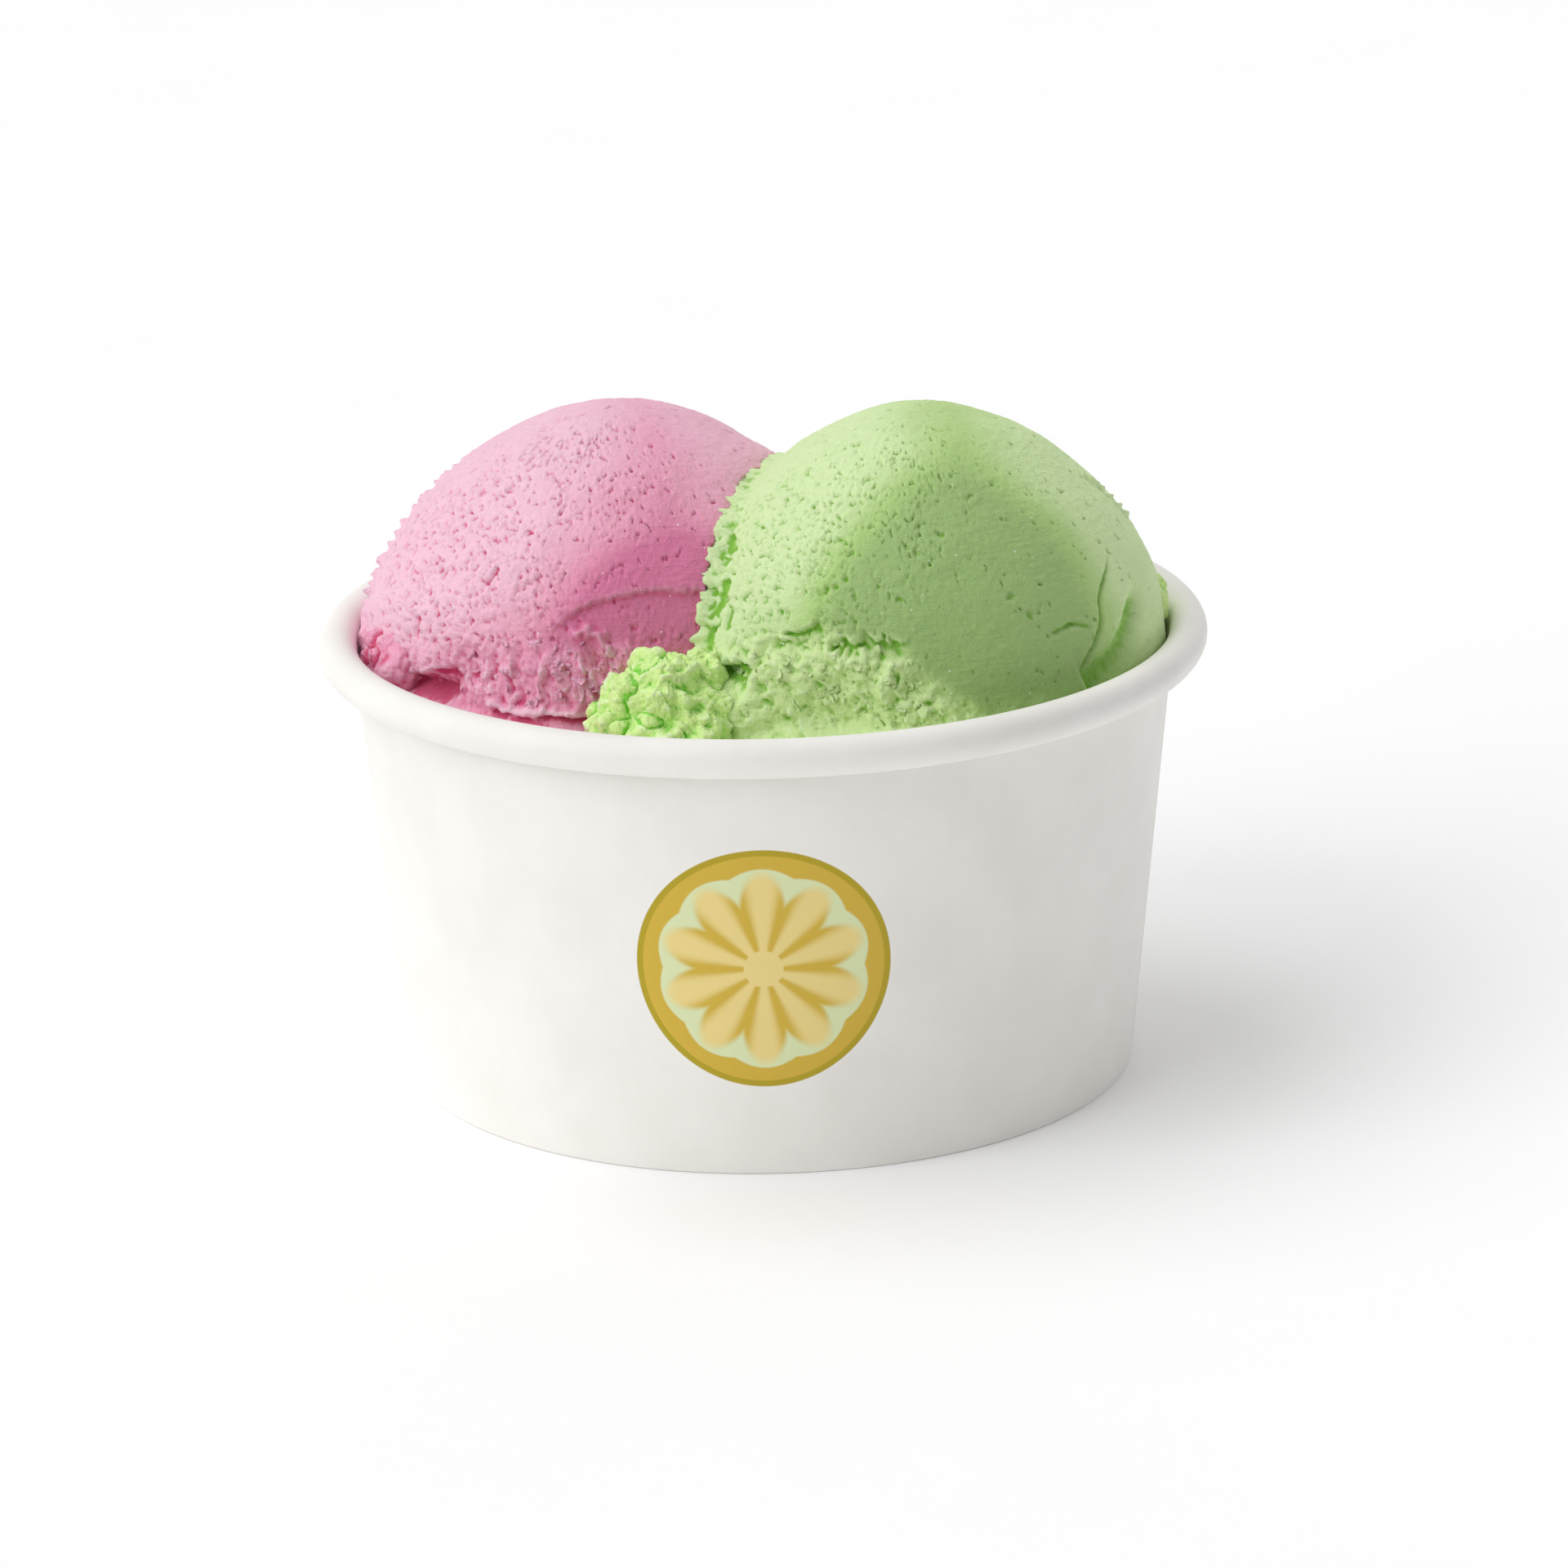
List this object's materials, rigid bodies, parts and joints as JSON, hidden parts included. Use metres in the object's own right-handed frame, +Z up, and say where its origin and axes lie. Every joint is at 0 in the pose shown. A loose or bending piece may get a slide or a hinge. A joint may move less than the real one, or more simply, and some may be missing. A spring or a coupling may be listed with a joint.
{
  "type": "gelato cup",
  "caption": "Squat tapered paper cup with a rolled rim, filled with gelato: a pink scoop and a pale green scoop pressed side by side above the rim.",
  "frame": {"origin": "centre of the cup's bottom ring, on the surface it stands on", "axes": "+Z up along the cup's axis, -Y the front, +X right: the green scoop is right and a little forward, the pink one left and a little back"},
  "size_m": [0.096, 0.096, 0.0732],
  "materials": {
    "cup_paper": "matt white coated paper board",
    "cup_floor": "matt white coated paper board",
    "pink_gelato": "pink gelato, soft and slightly translucent, with small open pits",
    "green_gelato": "pale green gelato, soft and slightly translucent, with small open pits"
  },
  "bodies": {
    "root": {"cup_wall": "cup_paper", "cup_base": "cup_floor", "pink_scoop": "pink_gelato", "green_scoop": "green_gelato"}
  },
  "joints": []
}
